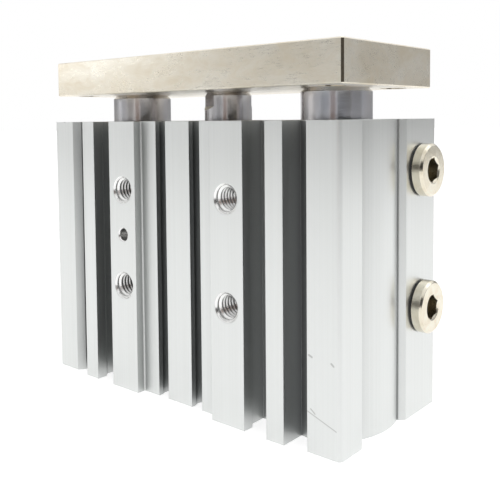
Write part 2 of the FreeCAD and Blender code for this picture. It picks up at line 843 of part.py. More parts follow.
def piston(doc):
    """Piston with grooves for its wear ring, seal and magnet, and a well for the nut."""
    body = make_body(doc, "piston")
    outer = "bore_radius - free"
    corners = [
        ("nut_well", "piston_bottom"),
        (outer, "piston_bottom"),
    ]
    for name in ("wear", "seal", "magnet"):
        low, high = f"{name}_bottom", f"{name}_bottom + {name}_height"
        corners += [
            (outer, low),
            (f"bore_radius - {name}_depth", low),
            (f"bore_radius - {name}_depth", high),
            (outer, high),
        ]
    corners += [
        (outer, "piston_top"),
        ("piston_spigot + seat", "piston_top"),
        ("piston_spigot + seat", "piston_bottom + nut_well_depth"),
        ("nut_well", "piston_bottom + nut_well_depth"),
    ]
    turned(body, corners)
    return body


def hexagon(flats):
    half, side, tip = f"{flats} / 2", f"{flats} / (2 * sqrt(3))", f"{flats} / sqrt(3)"
    return [(half, f"-{side}"), (half, side), ("0", tip),
            (f"-{half}", side), (f"-{half}", f"-{side}"), ("0", f"-{tip}")]


def piston_nut(doc):
    body = make_body(doc, "piston_nut")
    base = "piston_bottom + nut_well_depth - nut_height"
    outside = make_sketch(body, "nut_outside", "XY_Plane", base)
    draw_outline(outside, hexagon("nut_flats"))
    pad(body, outside, "nut_height")
    hole = make_sketch(body, "nut_hole", "XY_Plane", base)
    draw_circles(hole, [("0", "0")], "piston_spigot + seat")
    pocket(body, hole, "nut_height", towards_normal=True)
    return body


def piston_ring(doc, label, name, reach):
    """Ring that fills one groove of the piston, out to the stated radius."""
    return ring(doc, label, f"bore_radius - {name}_depth + seat", reach,
                f"{name}_bottom + axial_play", f"{name}_bottom + {name}_height - axial_play")


def piston_pieces(doc):
    return [
        piston_rod(doc),
        piston(doc),
        piston_nut(doc),
        piston_ring(doc, "piston_wear_ring", "wear", "bore_radius - running"),
        piston_ring(doc, "piston_seal", "seal", "bore_radius - running"),
        piston_ring(doc, "piston_magnet", "magnet", "bore_radius - free"),
    ]


# ---------------------------------------------------------------- end plate and screws

def end_plate(doc):
    """Steel plate that ties the three rods together: three sunk screws, four threads."""
    body = make_body(doc, "end_plate")
    outline = make_sketch(body, "plate_outline", "XY_Plane", "plate_bottom")
    draw_outline(outline, [
        ("-plate_x", "-plate_y"),
        ("plate_x", "-plate_y"),
        ("plate_x", "plate_y"),
        ("-plate_x", "plate_y"),
    ])
    pad(body, outline, "plate_thickness")
    bevel(body, upright, "plate_corner_bevel")
    bevel(body, lambda edge: not upright(edge), "plate_edge_bevel")
    drill(body, "rod_screw", "XY_Plane", "plate_top",
          [("0", "0"), ("guide_x", "0"), ("-guide_x", "0")],
          {"diameter": "thread + 2 * screw_shank_gap", "depth": "plate_thickness", "flat": True,
           "well": "screw_head + 2 * screw_head_gap", "well_depth": "screw_head_well"})
    drill(body, "load_thread", "XY_Plane", "plate_top",
          four("(plate_x - load_end_inset)", "(plate_y - load_side_inset)"),
          {"diameter": "thread", "depth": "plate_thickness", "mouth": "thread_mouth",
           "flat": True})
    return body


def socket(body, name, flats, depth, top):
    """Six-sided key socket sunk into the top of a screw or plug."""
    sketch = make_sketch(body, name, "XY_Plane", top)
    draw_outline(sketch, hexagon(flats))
    pocket(body, sketch, depth)


def plate_screw(doc, label, x="0"):
    """Socket head screw from the plate's well into the end of a rod."""
    body = make_body(doc, label)
    top = "screw_seat + screw_head_height"
    shank = "(thread_radius - seat)"
    tip = "plate_bottom - screw_grip"
    turned(body, [
        ("0", tip),
        (f"{shank} - turned_bevel", tip),
        (shank, f"{tip} + turned_bevel"),
        (shank, "screw_seat"),
        ("screw_head / 2", "screw_seat"),
        ("screw_head / 2", f"{top} - turned_bevel"),
        ("screw_head / 2 - turned_bevel", top),
        ("0", top),
    ])
    socket(body, label + "_socket", "screw_socket", "screw_socket_depth", top)
    place(body, x=x)
    return body


# ---------------------------------------------------------------- port plugs

def port_plug(doc, level, height):
    """Screwed plug with a round flange, and its gasket, in an end port."""
    label = f"port_plug_{level}"
    body = make_body(doc, label)
    top = "gasket_thickness + plug_flange_thickness"
    shank = "(port / 2 - seat)"
    turned(body, [
        ("0", "gasket_thickness - plug_thread_length"),
        (f"{shank} - plug_bevel", "gasket_thickness - plug_thread_length"),
        (shank, "gasket_thickness - plug_thread_length + plug_bevel"),
        (shank, "gasket_thickness"),
        ("plug_flange / 2", "gasket_thickness"),
        ("plug_flange / 2", f"{top} - plug_bevel"),
        ("plug_flange / 2 - plug_bevel", top),
        ("0", top),
    ])
    socket(body, label + "_socket", "plug_socket", "plug_socket_depth", top)
    mouth = "(plug_socket_mouth / 2)"
    turned(body, [("0", f"{top} - {mouth} / sqrt(3)"), (mouth, top), ("0", top)],
           name="socket_mouth", cut=True)
    gasket = ring(doc, f"plug_gasket_{level}", "port / 2 + seat", "plug_flange / 2 - gasket_inset",
                  "0", "gasket_thickness")
    for piece in (body, gasket):
        place(piece, "half_length", "end_port_y", height, axis=(0, 1, 0), angle=90,
              spin=SIZES["plug_turn"])
    return [body, gasket]


# ---------------------------------------------------------------- assembly

def build(doc):
    pieces = [cylinder_body(doc), end_plate(doc)]
    pieces += cover_pieces(doc)
    pieces += piston_pieces(doc)
    pieces.append(plate_screw(doc, "piston_rod_screw"))
    for side, x in (("left", "-guide_x"), ("right", "guide_x")):
        pieces += guide_bearings(doc, side, x)
        pieces.append(guide_rod(doc, side, x))
        pieces.append(plate_screw(doc, f"guide_rod_screw_{side}", x))
    for level, height in (("upper", "port_high"), ("lower", "port_low")):
        pieces += port_plug(doc, level, height)
    doc.recompute()
    return pieces


def check(doc, pieces):
    for item in doc.Objects:
        if {"Invalid", "Error"} & set(item.State):
            raise RuntimeError(f"{item.Name} failed: {item.State}")
    for piece in pieces:
        if piece.Shape.isNull() or not piece.Shape.isValid() or not piece.Shape.Solids:
            raise RuntimeError(f"{piece.Label} has no valid solid")


def main():
    doc = FreeCAD.newDocument("guided_cylinder")
    make_sheet(doc)
    pieces = build(doc)
    check(doc, pieces)
    os.makedirs("parts", exist_ok=True)
    for piece in pieces:
        piece.Shape.exportStep(f"parts/{piece.Label}.step")
        box = piece.Shape.BoundBox
        print(f"{piece.Label:28s} {piece.Shape.Volume:9.1f} mm3  z {box.ZMin:6.2f} {box.ZMax:6.2f}")


main()
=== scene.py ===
"""Looks, switch grooves, threads, light and camera for the guided cylinder's frame."""
import json
import math
import bpy
from mathutils import Matrix, Vector


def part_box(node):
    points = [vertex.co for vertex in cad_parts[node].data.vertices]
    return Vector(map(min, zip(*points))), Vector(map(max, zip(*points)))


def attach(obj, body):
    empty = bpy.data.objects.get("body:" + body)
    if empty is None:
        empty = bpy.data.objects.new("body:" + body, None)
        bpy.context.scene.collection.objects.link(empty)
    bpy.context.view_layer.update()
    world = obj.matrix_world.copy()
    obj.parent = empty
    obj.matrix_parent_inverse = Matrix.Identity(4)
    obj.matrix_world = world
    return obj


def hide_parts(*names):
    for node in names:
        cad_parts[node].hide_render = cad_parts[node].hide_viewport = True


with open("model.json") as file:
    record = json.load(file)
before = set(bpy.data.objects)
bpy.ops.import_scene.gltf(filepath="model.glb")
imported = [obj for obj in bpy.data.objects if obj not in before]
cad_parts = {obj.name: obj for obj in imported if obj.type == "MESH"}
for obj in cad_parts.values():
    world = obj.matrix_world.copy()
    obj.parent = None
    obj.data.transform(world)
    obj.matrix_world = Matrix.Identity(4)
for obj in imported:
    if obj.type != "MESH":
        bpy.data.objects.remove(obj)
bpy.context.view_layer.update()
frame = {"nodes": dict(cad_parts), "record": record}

MOUNTS = {mount["name"]: mount for mount in frame["record"]["mounts"]}


# ---------------------------------------------------------------- node helpers
def srgb(red, green, blue):
    """Screen values 0-255 as linear light."""
    def linear(value):
        value /= 255
        return value / 12.92 if value <= 0.04045 else ((value + 0.055) / 1.055) ** 2.4
    return linear(red), linear(green), linear(blue)


def add(tree, kind, inputs=None, **settings):
    """A node with its inputs set, or linked where the value is a socket."""
    made = tree.nodes.new("ShaderNode" + kind)
    for name, value in settings.items():
        setattr(made, name, value)
    for name, value in (inputs or {}).items():
        if isinstance(value, bpy.types.NodeSocket):
            tree.links.new(value, made.inputs[name])
        else:
            made.inputs[name].default_value = value
    return made


def new_material(name, metallic, **sockets):
    """A material with its tree and shader; uniform values go on the shader's sockets."""
    material = bpy.data.materials.new(name)
    material.use_nodes = True
    tree = material.node_tree
    shader = tree.nodes["Principled BSDF"]
    shader.inputs["Metallic"].default_value = metallic
    for socket, value in sockets.items():
        shader.inputs[socket.replace("_", " ")].default_value = value
    return material, tree, shader


def millimetres(tree, scale=(1, 1, 1), shift=(0, 0, 0)):
    """Object coordinates in millimetres, stretched by scale."""
    coordinates = add(tree, "TexCoord").outputs["Object"]
    return add(tree, "Mapping", {
        "Vector": coordinates,
        "Scale": tuple(1000 * s for s in scale),
        "Location": shift,
    }).outputs["Vector"]


def noise(tree, scale, detail=4.0, roughness=0.55, shift=(0, 0, 0), distortion=0.0):
    """Noise, 0 to 1, with scale in waves per millimetre on each axis."""
    return add(tree, "TexNoise", {
        "Vector": millimetres(tree, scale, shift),
        "Scale": 1.0, "Detail": detail, "Roughness": roughness, "Distortion": distortion,
    }).outputs["Fac"]


def span(tree, value, low, high, to_low=0.0, to_high=1.0):
    """value, which runs from low to high, put onto to_low to to_high."""
    return add(tree, "MapRange", {
        "Value": value, "From Min": low, "From Max": high,
        "To Min": to_low, "To Max": to_high,
    }).outputs["Result"]


def calc(tree, operation, first, second=0.0):
    """The result of one step of arithmetic on values or sockets."""
    return add(tree, "Math", {0: first, 1: second}, operation=operation).outputs["Value"]


def mix(tree, factor, first, second, blend="MIX"):
    """Colour mix; plain colours are three numbers."""
    made = add(tree, "Mix", data_type="RGBA", blend_type=blend)
    for index, value in ((0, factor), (6, first), (7, second)):
        if isinstance(value, bpy.types.NodeSocket):
            tree.links.new(value, made.inputs[index])
        else:
            made.inputs[index].default_value = value if index == 0 else (*value, 1)
    return made.outputs[2]


def edges(tree, radius):
    """The normal rounded over edges, and how near an edge a point is, 0 to 1."""
    rounded = add(tree, "Bevel", {"Radius": radius / 1000}, samples=6).outputs["Normal"]
    plain = add(tree, "NewGeometry").outputs["Normal"]
    same = add(tree, "VectorMath", {0: rounded, 1: plain}, operation="DOT_PRODUCT")
    return rounded, span(tree, same.outputs["Value"], 0.995, 0.86)


def open_sky(tree, reach):
    """How open a spot is to its surroundings, 0 in a deep groove, 1 on a free face."""
    return add(tree, "AmbientOcclusion", {"Distance": reach / 1000}, samples=8,
               only_local=True).outputs["AO"]


def bump(tree, shader, height, distance, normal=None):
    """Raise the surface by height times distance, in millimetres."""
    inputs = {"Height": height, "Distance": distance / 1000, "Strength": 1.0}
    if normal is not None:
        inputs["Normal"] = normal
    tree.links.new(add(tree, "Bump", inputs).outputs["Normal"], shader.inputs["Normal"])


def feed(tree, shader, **sockets):
    """Link values that vary over the surface to the shader's sockets."""
    for socket, value in sockets.items():
        tree.links.new(value, shader.inputs[socket.replace("_", " ")])


def four_centres(mount):
    """The hole centres of a bolt pattern, in metres."""
    place, dims = Vector(mount["pos_m"]), mount["dims"]
    across, up = dims["spacing_x_mm"] / 2000, dims["spacing_y_mm"] / 2000
    lift = Vector((0, up, 0)) if abs(mount["axis"][2]) > 0.5 else Vector((0, 0, up))
    for along, row in ((-1, -1), (1, -1), (-1, 1), (1, 1)):
        yield place + Vector((along * across, 0, 0)) + row * lift


def within(tree, centres, axis, radius):
    """1 for spots nearer than radius, in millimetres, to lines along axis, else 0."""
    keep = tuple(0.0 if part else 1.0 for part in axis)
    spot = add(tree, "VectorMath", {0: millimetres(tree), 1: keep}, operation="MULTIPLY")
    nearest = 1000.0
    for centre in centres:
        target = tuple(1000 * c * k for c, k in zip(centre, keep))
        gap = add(tree, "VectorMath", {0: spot.outputs["Vector"], 1: target},
                  operation="DISTANCE").outputs["Value"]
        nearest = calc(tree, "MINIMUM", gap, nearest)
    return span(tree, nearest, radius, radius - 0.05)


def scratch(tree, start, end, width):
    """1 on a hairline between two points (x, z) of the front face, in millimetres."""
    in_face = add(tree, "VectorMath", {0: millimetres(tree), 1: (1.0, 0.0, 1.0)},
                  operation="MULTIPLY").outputs["Vector"]
    foot = (start[0], 0.0, start[1])
    along = (end[0] - start[0], 0.0, end[1] - start[1])
    squared = along[0] ** 2 + along[2] ** 2
    away = add(tree, "VectorMath", {0: in_face, 1: foot}, operation="SUBTRACT")
    part = add(tree, "VectorMath", {0: away.outputs["Vector"], 1: along},
               operation="DOT_PRODUCT")
    share = span(tree, part.outputs["Value"], 0.0, squared)
    reached = add(tree, "VectorMath", {0: along, "Scale": share}, operation="SCALE")
    gap = add(tree, "VectorMath", {0: away.outputs["Vector"], 1: reached.outputs["Vector"]},
              operation="DISTANCE").outputs["Value"]
    front = add(tree, "SeparateXYZ", {"Vector": millimetres(tree)}).outputs["Y"]
    line = span(tree, gap, width / 2, width / 2 + MARK_FADE, 1.0, 0.0)
    return calc(tree, "MULTIPLY", line, span(tree, front, *MARK_DEPTH))


# ------------------------------------------------------------------- materials
MARK_FADE = 0.12                             # how softly a mark ends, mm
MARK_DEPTH = (-19.4, -19.6)                  # marks show in front of this y
# start and end (x, z) and width of each mark, in millimetres
MARKS = (((37.4, 8.7), (44.6, 6.1), 0.1),
         ((38.2, 20.2), (38.9, 19.9), 0.3),
         ((43.5, 19.5), (44.0, 19.1), 0.3),
         ((38.6, 9.2), (39.6, 8.4), 0.15))
TAP_MOUTH, PIN_MOUTH = 3.42, 1.78            # radii, just inside the countersinks' edges
FRONT_REACH, BASE_REACH = (-5, -6), (15, 14)     # where bare metal ends, in y and in z


def scratched(tree):
    """1 on the marks that handling left on the front of one post."""
    marks = 0.0
    for start, end, width in MARKS:
        marks = calc(tree, "MAXIMUM", scratch(tree, start, end, width), marks)
    return marks


def cut_after_anodising(tree):
    """1 in the taps and the pin hole, which are bare metal. Each ends a little past its
    hole, so that the faces in line with it stay anodised."""
    place = add(tree, "SeparateXYZ", {"Vector": millimetres(tree)}).outputs
    taps = within(tree, four_centres(MOUNTS["front_threads"]), (0, 1, 0), TAP_MOUTH)
    pin = within(tree, [MOUNTS["front_pin_hole"]["pos_m"]], (0, 1, 0), PIN_MOUTH)
    base = within(tree, four_centres(MOUNTS["base_threads"]), (0, 0, 1), TAP_MOUTH)
    front = calc(tree, "MULTIPLY", calc(tree, "MAXIMUM", taps, pin),
                 span(tree, place["Y"], *FRONT_REACH))
    below = calc(tree, "MULTIPLY", base, span(tree, place["Z"], *BASE_REACH))
    return calc(tree, "MAXIMUM", front, below)


def anodised_extrusion():
    """Clear anodised aluminium with the die's fine lines along Z, bare in its taps, with painted
    shade in its grooves, slots and taps.
    """
    material, tree, shader = new_material("anodised_extrusion", 0.92)
    lines = noise(tree, (1.7, 1.7, 0.006), detail=5, roughness=0.7)
    fine = noise(tree, (7, 7, 0.05), detail=3, roughness=0.6)
    clouds = noise(tree, (0.03, 0.03, 0.025), detail=3)
    grain = noise(tree, (5, 5, 5), detail=2)
    rounded, worn = edges(tree, 0.22)
    tone = calc(tree, "ADD", span(tree, lines, 0.3, 0.7, -0.5, 0.5),
                span(tree, clouds, 0.3, 0.7, -0.5, 0.5))
    colour = mix(tree, span(tree, tone, -1, 1), srgb(219, 221, 219), srgb(229, 231, 230))
    colour = mix(tree, calc(tree, "MULTIPLY", worn, 0.2), colour, srgb(244, 245, 244))
    # painted shade: the colour turns grey where the surroundings close in, in grooves and slots
    painted_shade = span(tree, open_sky(tree, 9), 0.2, 0.92, 0.85, 0.0)
    colour = mix(tree, painted_shade, colour, srgb(122, 124, 125))
    # more painted shade, darker still, in narrow grooves only
    narrow_painted_shade = span(tree, open_sky(tree, 3), 0.2, 0.8, 0.4, 0.0)
    colour = mix(tree, narrow_painted_shade, colour, srgb(92, 94, 95))
    rough = calc(tree, "ADD", span(tree, clouds, 0.3, 0.7, 0.33, 0.39),
                 span(tree, grain, 0.3, 0.7, -0.03, 0.03))
    marks = calc(tree, "MULTIPLY", scratched(tree), 0.45)
    colour = mix(tree, marks, colour, srgb(120, 118, 114))
    cut = cut_after_anodising(tree)
    # painted shade: the bare metal turns dark deeper in the taps and the pin hole
    deep = span(tree, open_sky(tree, 1.2), 0.25, 0.85, 0.8, 0.0)
    bare = mix(tree, deep, srgb(244, 244, 243), srgb(70, 70, 72))
    colour = mix(tree, cut, colour, bare)
    rough = add(tree, "Mix", {0: cut, 2: rough, 3: 0.24}).outputs[0]
    feed(tree, shader, Base_Color=colour, Roughness=rough)
    height = calc(tree, "ADD", calc(tree, "MULTIPLY", lines, 0.6),
                  calc(tree, "ADD", calc(tree, "MULTIPLY", fine, 0.3),
                       calc(tree, "MULTIPLY", grain, 0.25)))
    bump(tree, shader, height, 0.012, rounded)
    return material


def turned_aluminium():
    """Anodised covers with lathe rings about the piston axis."""
    material, tree, shader = new_material("turned_aluminium", 0.95)
    place = add(tree, "SeparateXYZ", {"Vector": millimetres(tree)})
    radius = calc(tree, "SQRT", calc(tree, "ADD",
                  calc(tree, "POWER", place.outputs["X"], 2.0),
                  calc(tree, "POWER", place.outputs["Y"], 2.0)))
    rings = add(tree, "TexNoise", {"W": calc(tree, "MULTIPLY", radius, 5.0), "Scale": 1.0,
                                   "Detail": 3.0}, noise_dimensions="1D").outputs["Fac"]
    clouds = noise(tree, (0.08, 0.08, 0.08))
    rounded, worn = edges(tree, 0.2)
    colour = mix(tree, rings, srgb(196, 198, 199), srgb(216, 217, 218))
    colour = mix(tree, calc(tree, "MULTIPLY", worn, 0.5), colour, srgb(236, 237, 238))
    feed(tree, shader, Base_Color=colour, Roughness=span(tree, clouds, 0.3, 0.7, 0.26, 0.36))
    bump(tree, shader, rings, 0.008, rounded)
    return material


def slanting(tree):
    """1 on upright faces at 45 degrees to X and Y, such as a plate's corner bevels."""
    way = add(tree, "SeparateXYZ", {"Vector": add(tree, "TexCoord").outputs["Normal"]})
    across, along = way.outputs["X"], way.outputs["Y"]
    both = calc(tree, "ABSOLUTE", calc(tree, "MULTIPLY", across, along))
    return span(tree, both, 0.44, 0.49, 0.0, 0.9)


def nickel_plate():
    """Ground steel under warm, cloudy nickel plating, with a painted dark reflection on its
    slanted corner bevels.
    """
    material, tree, shader = new_material("nickel_plate", 0.8)
    clouds = noise(tree, (0.045, 0.07, 0.11), detail=5, roughness=0.6, distortion=0.6)
    stains = noise(tree, (0.16, 0.2, 0.3), detail=6, roughness=0.65, shift=(3, 7, 1),
                   distortion=1.2)
    ground = noise(tree, (0.35, 3.2, 5.5), detail=4, roughness=0.7)
    specks = noise(tree, (1.6, 1.6, 1.6), detail=3, roughness=0.7, shift=(9, 2, 5))
    rounded, worn = edges(tree, 0.1)
    colour = mix(tree, span(tree, clouds, 0.32, 0.68), srgb(240, 230, 209), srgb(254, 249, 236))
    colour = mix(tree, span(tree, stains, 0.5, 0.75, 0, 0.35), colour, srgb(222, 206, 174))
    colour = mix(tree, span(tree, specks, 0.7, 0.78, 0, 0.25), colour, srgb(170, 162, 146))
    colour = mix(tree, calc(tree, "MULTIPLY", worn, 0.5), colour, srgb(252, 250, 242))
    # painted dark reflection: the slanted corner bevels are darkened by the way they face
    colour = mix(tree, slanting(tree), colour, srgb(96, 84, 66))
    feed(tree, shader, Base_Color=colour,
         Roughness=calc(tree, "ADD", span(tree, stains, 0.3, 0.7, 0.26, 0.35),
                        span(tree, ground, 0.3, 0.7, -0.05, 0.05)))
    height = calc(tree, "ADD", calc(tree, "MULTIPLY", ground, 0.35),
                  calc(tree, "MULTIPLY", clouds, 1.2))
    bump(tree, shader, height, 0.014, rounded)
    return material


def hard_chrome():
    """Ground and polished chrome rods with hair-fine rings."""
    material, tree, shader = new_material("hard_chrome", 1.0)
    rings = noise(tree, (0.04, 0.04, 9), detail=3, roughness=0.6)
    tint = noise(tree, (0.14, 0.14, 0.02), detail=2, shift=(4, 1, 2))
    colour = mix(tree, span(tree, tint, 0.35, 0.65), srgb(212, 216, 226), srgb(220, 214, 210))
    colour = mix(tree, span(tree, rings, 0.3, 0.7, 0, 0.25), colour, srgb(180, 183, 190))
    feed(tree, shader, Base_Color=colour, Roughness=span(tree, rings, 0.3, 0.7, 0.2, 0.25))
    bump(tree, shader, rings, 0.0005)
    return material


def bright_nickel():
    """Nickel plated plugs, turned on their faces, with painted shade in their sockets and
    recesses.
    """
    material, tree, shader = new_material("bright_nickel", 1.0)
    clouds = noise(tree, (0.35, 0.35, 0.35), detail=4, distortion=0.5)
    specks = noise(tree, (2.6, 2.6, 2.6), detail=4, roughness=0.7)
    rounded, worn = edges(tree, 0.2)
    colour = mix(tree, span(tree, clouds, 0.3, 0.7), srgb(214, 205, 184), srgb(232, 227, 212))
    colour = mix(tree, span(tree, specks, 0.6, 0.72, 0, 0.35), colour, srgb(170, 160, 138))
    colour = mix(tree, calc(tree, "MULTIPLY", worn, 0.5), colour, srgb(250, 248, 240))
    # painted shade: dark brown where the surroundings close in, as in the sockets
    painted_shade = span(tree, open_sky(tree, 2.5), 0.2, 0.95, 0.8, 0.0)
    colour = mix(tree, painted_shade, colour, srgb(58, 50, 40))
    feed(tree, shader, Base_Color=colour, Roughness=span(tree, clouds, 0.3, 0.7, 0.16, 0.24))
    bump(tree, shader, specks, 0.012, rounded)
    return material


def black_oxide():
    """Blackened screws, rubbed to grey at their edges."""
    material, tree, shader = new_material("black_oxide", 0.75)
    clouds = noise(tree, (0.5, 0.5, 0.5), detail=4)
    grain = noise(tree, (6, 6, 6), detail=3)
    rounded, worn = edges(tree, 0.2)
    colour = mix(tree, clouds, srgb(38, 38, 41), srgb(58, 57, 58))
    colour = mix(tree, calc(tree, "MULTIPLY", worn, calc(tree, "MULTIPLY", clouds, 0.9)),
                 colour, srgb(136, 134, 132))
    feed(tree, shader, Base_Color=colour, Roughness=span(tree, grain, 0.3, 0.7, 0.34, 0.5))
    bump(tree, shader, grain, 0.01, rounded)
    return material


def spring_steel():
    """Phosphated retaining rings, a touch brown."""
    material, tree, shader = new_material("spring_steel", 0.6)
    clouds = noise(tree, (0.4, 0.4, 0.4), detail=5)
    grain = noise(tree, (4, 4, 4), detail=4, roughness=0.7)
    rounded, worn = edges(tree, 0.12)
    colour = mix(tree, clouds, srgb(56, 54, 53), srgb(84, 80, 76))
    colour = mix(tree, calc(tree, "MULTIPLY", worn, 0.6), colour, srgb(150, 148, 146))
    feed(tree, shader, Base_Color=colour, Roughness=span(tree, grain, 0.3, 0.7, 0.42, 0.6))
    bump(tree, shader, grain, 0.015, rounded)
    return material


def nitrile():
    """Matt black rubber with a faint bloom."""
    material, tree, shader = new_material("nitrile", 0.0)
    bloom = noise(tree, (0.5, 0.5, 0.5), detail=4)
    grain = noise(tree, (9, 9, 9), detail=3)
    feed(tree, shader,
         Base_Color=mix(tree, span(tree, bloom, 0.45, 0.75), srgb(26, 26, 27), srgb(48, 48, 49)),
         Roughness=span(tree, grain, 0.3, 0.7, 0.5, 0.66))
    bump(tree, shader, grain, 0.02)
    return material


def sintered_bronze():
    """Oil-filled bronze with open pores."""
    material, tree, shader = new_material("sintered_bronze", 0.9)
    clouds = noise(tree, (0.3, 0.3, 0.3), detail=4)
    cells = add(tree, "TexVoronoi", {"Vector": millimetres(tree, (5, 5, 5)), "Scale": 1.0},
                feature="F1").outputs["Distance"]
    pores = span(tree, cells, 0.12, 0.3, 1, 0)
    colour = mix(tree, clouds, srgb(166, 124, 72), srgb(202, 160, 98))
    colour = mix(tree, calc(tree, "MULTIPLY", pores, 0.7), colour, srgb(70, 48, 26))
    feed(tree, shader, Base_Color=colour, Roughness=span(tree, clouds, 0.3, 0.7, 0.3, 0.46))
    bump(tree, shader, calc(tree, "SUBTRACT", 1.0, pores), 0.03)
    return material


def acetal():
    """Creamy wear ring plastic."""
    material, tree, shader = new_material("acetal", 0.0, IOR=1.48)
    clouds = noise(tree, (0.2, 0.2, 0.2), detail=3)
    grain = noise(tree, (5, 5, 5), detail=3)
    feed(tree, shader, Base_Color=mix(tree, clouds, srgb(214, 206, 184), srgb(230, 224, 206)),
         Roughness=span(tree, grain, 0.3, 0.7, 0.36, 0.5))
    bump(tree, shader, grain, 0.01)
    return material


def ferrite():
    """Grey-black bonded magnet with a sandy skin."""
    material, tree, shader = new_material("ferrite", 0.1)
    sand = noise(tree, (7, 7, 7), detail=4, roughness=0.7)
    clouds = noise(tree, (0.4, 0.4, 0.4), detail=3)
    feed(tree, shader, Base_Color=mix(tree, sand, srgb(44, 44, 47), srgb(78, 77, 78)),
         Roughness=span(tree, clouds, 0.3, 0.7, 0.62, 0.8))
    bump(tree, shader, sand, 0.03)
    return material


FINISHES = {
    "body_aluminium": anodised_extrusion(),
    "cover_aluminium": turned_aluminium(),
    "plate_nickel": nickel_plate(),
    "rod_chrome": hard_chrome(),
    "plug_nickel": bright_nickel(),
    "screw_black": black_oxide(),
    "spring_steel": spring_steel(),
    "rubber": nitrile(),
    "bronze": sintered_bronze(),
    "wear_plastic": acetal(),
    "magnet": ferrite(),
}

for node in frame["nodes"].values():
    for index, given in enumerate(node.data.materials):
        slot = given.name.split(".")[0]
        node.data.materials[index] = FINISHES[slot]


# -------------------------------------------------------------- switch grooves
def prism(name, outline, low_z, high_z):
    """An upright closed prism over that outline, all in millimetres."""
    count = len(outline)
    verts = [(x / 1000, y / 1000, z / 1000) for z in (low_z, high_z) for x, y in outline]
    faces = [tuple(reversed(range(count))), tuple(range(count, 2 * count))]
    faces += [(i, (i + 1) % count, (i + 1) % count + count, i + count) for i in range(count)]
    mesh = bpy.data.meshes.new(name)
    mesh.from_pydata(verts, [], faces)
    made = bpy.data.objects.new(name, mesh)
    bpy.context.scene.collection.objects.link(made)
    return made


GROOVE_PITCH, GROOVE_CENTRE = 11.1, 16.0     # across X, and from the piston axis along Y
CHANNEL_RADIUS, NECK_HALF = 2.1, 1.66        # the neck is cut 0.01 wider than the solid's
NECK_REACH = 2.4                             # from the channel's centre into the open neck
CHANNEL_STEPS = 28
SHARP_EDGE = math.radians(22)


def keyhole(across, side):
    """Outline of a round channel and the neck above it, at x across and on that side in Y."""
    throat = math.atan2(math.sqrt(CHANNEL_RADIUS ** 2 - NECK_HALF ** 2), NECK_HALF)
    points = [(NECK_HALF, -NECK_REACH)]
    for step in range(CHANNEL_STEPS + 1):
        angle = -throat + (math.pi + 2 * throat) * step / CHANNEL_STEPS
        points.append((CHANNEL_RADIUS * math.cos(angle), CHANNEL_RADIUS * math.sin(angle)))
    points.append((-NECK_HALF, -NECK_REACH))
    # the mirrored side runs the other way round, so it's turned back
    placed = [(across + x, side * (GROOVE_CENTRE - y)) for x, y in points]
    return placed if side < 0 else placed[::-1]


def cut_away(body, tool):
    """Take the tool's shape out of the body's mesh, and the tool out of the scene."""
    cut = body.modifiers.new(tool.name, "BOOLEAN")
    cut.operation, cut.solver, cut.object = "DIFFERENCE", "EXACT", tool
    depsgraph = bpy.context.evaluated_depsgraph_get()
    mesh = bpy.data.meshes.new_from_object(body.evaluated_get(depsgraph))
    body.modifiers.clear()
    body.data = mesh
    bpy.data.objects.remove(tool)


def grooved_body():
    """The body with its four switch grooves opened to round channels below their necks.
    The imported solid's grooves end in a shallow arc instead, which this takes away."""
    node = frame["nodes"]["cylinder_body"]
    body = bpy.data.objects.new("grooved_body", node.data.copy())
    bpy.context.scene.collection.objects.link(body)
    low_z, high_z = (1000 * corner[2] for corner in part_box("cylinder_body"))
    for number, (left_right, side) in enumerate(((-1, -1), (1, -1), (-1, 1), (1, 1))):
        outline = keyhole(left_right * GROOVE_PITCH / 2, side)
        cut_away(body, prism(f"channel_{number}", outline, low_z - 1, high_z + 1))
    mesh = body.data
    # normals carried over from the uncut mesh would streak the shading
    if "custom_normal" in mesh.attributes:
        mesh.attributes.remove(mesh.attributes["custom_normal"])
    mesh.polygons.foreach_set("use_smooth", [True] * len(mesh.polygons))
    mesh.set_sharp_from_angle(angle=SHARP_EDGE)
    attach(body, "housing")
    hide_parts("cylinder_body")


grooved_body()


# --------------------------------------------------------------------- threads
STEPS_A_TURN = 36
RIDGE_HEIGHT, HALF_FOOT, HALF_CREST = 0.54, 0.46, 0.07      # in pitches
SUNK = 0.03                                                 # foot below the wall, mm
FADE_TURNS, FADE_START = 0.4, 0.08                          # how a ridge's ends run out


def helix(mouth, out, radius, pitch, start, length):
    """Corners and faces of a closed helical ridge on a hole's wall. mouth is the hole's
    centre in the face, in metres, and out the way out of it. The rest is in millimetres;
    start and length run inwards."""
    out = Vector(out)
    side = out.orthogonal().normalized()
    other = out.cross(side)
    total = int(STEPS_A_TURN * length / pitch)
    verts, faces = [], []
    for step in range(total + 1):
        turn = step / STEPS_A_TURN
        turns_left = (total - step) / STEPS_A_TURN
        fade = min(1.0, turn / FADE_TURNS + FADE_START, turns_left / FADE_TURNS + FADE_START)
        height = RIDGE_HEIGHT * pitch * fade
        angle = 2 * math.pi * turn
        way = side * math.cos(angle) + other * math.sin(angle)
        depth = start + turn * pitch
        for reach, rise in ((-SUNK, -HALF_FOOT), (height, -HALF_CREST),
                            (height, HALF_CREST), (-SUNK, HALF_FOOT)):
            spot = Vector(mouth) * 1000 - out * (depth + rise * pitch) + way * (radius - reach)
            verts.append(spot / 1000)
        if step:
            last = 4 * step
            for edge in range(4):
                next_edge = (edge + 1) % 4
                faces.append((last - 4 + edge, last - 4 + next_edge,
                              last + next_edge, last + edge))
    faces += [(0, 1, 2, 3), (4 * total + 3, 4 * total + 2, 4 * total + 1, 4 * total)]
    return verts, faces


